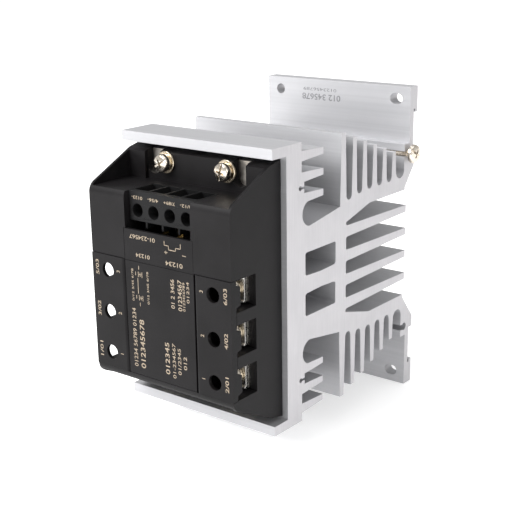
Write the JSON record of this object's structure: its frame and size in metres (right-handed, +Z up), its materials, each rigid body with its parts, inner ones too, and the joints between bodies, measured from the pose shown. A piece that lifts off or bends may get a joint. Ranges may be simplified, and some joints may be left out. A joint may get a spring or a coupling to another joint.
{
  "type": "solid state relay with heatsink",
  "caption": "Panel-mount solid state relay on an extruded finned aluminium heatsink, with opening terminal covers, screw clamps for the load and rising clamps for control wires.",
  "frame": {"origin": "middle of the rear mounting face: halfway between the sides of the heatsink and halfway up the rear plate", "axes": "+X to the right as seen from the relay's front, +Y to the rear into the mounting panel, +Z up along the rear plate; the relay's front looks towards -Y"},
  "size_m": [0.0848, 0.1325, 0.1434],
  "materials": {
    "aluminium": "brushed",
    "case_plastic": "fine matt",
    "panel_plastic": "fine matt, printed",
    "cover_plastic": "fine matt",
    "block_plastic": "fine matt",
    "plated_screw": "passivated",
    "plated_washer": "passivated",
    "clamp_metal": "nickel plated",
    "terminal_metal": "nickel plated",
    "contact_metal": "satin",
    "base_metal": "nickel plated",
    "thermal_pad": "matt",
    "board": "solder resist",
    "optocoupler": "matt",
    "capacitor": "moulded",
    "resistor": "lacquered",
    "sensor": "matt",
    "ceramic": "fired",
    "chip": "polished"
  },
  "bodies": {
    "relay": {"heatsink": "aluminium", "ground_screw": "plated_screw", "thermal_pad": "thermal_pad", "base_plate": "base_metal", "module_screws": "plated_screw", "module_spring_washers": "plated_washer", "module_flat_washers": "plated_washer", "case": "case_plastic", "front_panel": "panel_plastic", "control_terminal_block": "block_plastic", "control_contacts": "contact_metal", "circuit_board": "board", "optocouplers": "optocoupler", "snubber_capacitors": "capacitor", "gate_resistors": "resistor", "gate_pins": "contact_metal", "temperature_sensor": "sensor", "ceramic_substrates": "ceramic", "thyristor_chips": "chip", "line_terminals": "terminal_metal", "load_terminals": "terminal_metal", "middle_phase_busbar": "terminal_metal", "terminal_nuts": "plated_screw"},
    "left_cover": {"left_terminal_cover": "cover_plastic"},
    "right_cover": {"right_terminal_cover": "cover_plastic"},
    "clamp_1": {"clamp_plate_1": "clamp_metal", "spring_washer_1": "plated_washer"},
    "power_screw_1": {"power_screw_1": "plated_screw"},
    "clamp_2": {"clamp_plate_2": "clamp_metal", "spring_washer_2": "plated_washer"},
    "power_screw_2": {"power_screw_2": "plated_screw"},
    "clamp_3": {"clamp_plate_3": "clamp_metal", "spring_washer_3": "plated_washer"},
    "power_screw_3": {"power_screw_3": "plated_screw"},
    "clamp_4": {"clamp_plate_4": "clamp_metal", "spring_washer_4": "plated_washer"},
    "power_screw_4": {"power_screw_4": "plated_screw"},
    "clamp_5": {"clamp_plate_5": "clamp_metal", "spring_washer_5": "plated_washer"},
    "power_screw_5": {"power_screw_5": "plated_screw"},
    "clamp_6": {"clamp_plate_6": "clamp_metal", "spring_washer_6": "plated_washer"},
    "power_screw_6": {"power_screw_6": "plated_screw"},
    "control_screw_1": {"control_screw_1": "plated_screw"},
    "control_clamp_1": {"control_clamp_1": "clamp_metal"},
    "control_screw_2": {"control_screw_2": "plated_screw"},
    "control_clamp_2": {"control_clamp_2": "clamp_metal"},
    "control_screw_3": {"control_screw_3": "plated_screw"},
    "control_clamp_3": {"control_clamp_3": "clamp_metal"},
    "control_screw_4": {"control_screw_4": "plated_screw"},
    "control_clamp_4": {"control_clamp_4": "clamp_metal"}
  },
  "joints": [
    {"name": "left_cover_hinge", "type": "hinge", "parent": "relay", "child": "left_cover", "pos_m": [-0.0203, -0.131, -0.01265], "axis": [0, 0, 1], "range_deg": [0, 90]},
    {"name": "right_cover_hinge", "type": "hinge", "parent": "relay", "child": "right_cover", "pos_m": [0.0203, -0.131, -0.01265], "axis": [0, 0, -1], "range_deg": [0, 90]},
    {"name": "clamp_1_slide", "type": "slide", "parent": "relay", "child": "clamp_1", "axis": [0, -1, 0], "range_m": [0, 0.0044]},
    {"name": "power_screw_1_turn", "type": "hinge", "parent": "clamp_1", "child": "power_screw_1", "pos_m": [-0.0284, -0.1212, 0.00555], "axis": [0, -1, 0], "range_deg": [0, 1981]},
    {"name": "clamp_2_slide", "type": "slide", "parent": "relay", "child": "clamp_2", "axis": [0, -1, 0], "range_m": [0, 0.0044]},
    {"name": "power_screw_2_turn", "type": "hinge", "parent": "clamp_2", "child": "power_screw_2", "pos_m": [-0.0284, -0.1212, -0.0126], "axis": [0, -1, 0], "range_deg": [0, 1981]},
    {"name": "clamp_3_slide", "type": "slide", "parent": "relay", "child": "clamp_3", "axis": [0, -1, 0], "range_m": [0, 0.0044]},
    {"name": "power_screw_3_turn", "type": "hinge", "parent": "clamp_3", "child": "power_screw_3", "pos_m": [-0.0284, -0.1212, -0.03075], "axis": [0, -1, 0], "range_deg": [0, 1981]},
    {"name": "clamp_4_slide", "type": "slide", "parent": "relay", "child": "clamp_4", "axis": [0, -1, 0], "range_m": [0, 0.0044]},
    {"name": "power_screw_4_turn", "type": "hinge", "parent": "clamp_4", "child": "power_screw_4", "pos_m": [0.0284, -0.1212, 0.00555], "axis": [0, -1, 0], "range_deg": [0, 1981]},
    {"name": "clamp_5_slide", "type": "slide", "parent": "relay", "child": "clamp_5", "axis": [0, -1, 0], "range_m": [0, 0.0044]},
    {"name": "power_screw_5_turn", "type": "hinge", "parent": "clamp_5", "child": "power_screw_5", "pos_m": [0.0284, -0.1212, -0.0126], "axis": [0, -1, 0], "range_deg": [0, 1981]},
    {"name": "clamp_6_slide", "type": "slide", "parent": "relay", "child": "clamp_6", "axis": [0, -1, 0], "range_m": [0, 0.0044]},
    {"name": "power_screw_6_turn", "type": "hinge", "parent": "clamp_6", "child": "power_screw_6", "pos_m": [0.0284, -0.1212, -0.03075], "axis": [0, -1, 0], "range_deg": [0, 1981]},
    {"name": "control_screw_1_turn", "type": "hinge", "parent": "relay", "child": "control_screw_1", "pos_m": [-0.01305, -0.1202, 0.0326], "axis": [0, 1, 0], "range_deg": [0, 1585]},
    {"name": "control_clamp_1_rise", "type": "slide", "parent": "relay", "child": "control_clamp_1", "axis": [0, -1, 0], "range_m": [0, 0.0022]},
    {"name": "control_screw_2_turn", "type": "hinge", "parent": "relay", "child": "control_screw_2", "pos_m": [-0.00435, -0.1202, 0.0326], "axis": [0, 1, 0], "range_deg": [0, 1585]},
    {"name": "control_clamp_2_rise", "type": "slide", "parent": "relay", "child": "control_clamp_2", "axis": [0, -1, 0], "range_m": [0, 0.0022]},
    {"name": "control_screw_3_turn", "type": "hinge", "parent": "relay", "child": "control_screw_3", "pos_m": [0.00435, -0.1202, 0.0326], "axis": [0, 1, 0], "range_deg": [0, 1585]},
    {"name": "control_clamp_3_rise", "type": "slide", "parent": "relay", "child": "control_clamp_3", "axis": [0, -1, 0], "range_m": [0, 0.0022]},
    {"name": "control_screw_4_turn", "type": "hinge", "parent": "relay", "child": "control_screw_4", "pos_m": [0.01305, -0.1202, 0.0326], "axis": [0, 1, 0], "range_deg": [0, 1585]},
    {"name": "control_clamp_4_rise", "type": "slide", "parent": "relay", "child": "control_clamp_4", "axis": [0, -1, 0], "range_m": [0, 0.0022]}
  ],
  "couplings": [
    {"joint": "power_screw_1_turn", "follows": "clamp_1_slide", "rad_per_m": 7854},
    {"joint": "power_screw_2_turn", "follows": "clamp_2_slide", "rad_per_m": 7854},
    {"joint": "power_screw_3_turn", "follows": "clamp_3_slide", "rad_per_m": 7854},
    {"joint": "power_screw_4_turn", "follows": "clamp_4_slide", "rad_per_m": 7854},
    {"joint": "power_screw_5_turn", "follows": "clamp_5_slide", "rad_per_m": 7854},
    {"joint": "power_screw_6_turn", "follows": "clamp_6_slide", "rad_per_m": 7854},
    {"joint": "control_screw_1_turn", "follows": "control_clamp_1_rise", "rad_per_m": 12566},
    {"joint": "control_screw_2_turn", "follows": "control_clamp_2_rise", "rad_per_m": 12566},
    {"joint": "control_screw_3_turn", "follows": "control_clamp_3_rise", "rad_per_m": 12566},
    {"joint": "control_screw_4_turn", "follows": "control_clamp_4_rise", "rad_per_m": 12566}
  ]
}
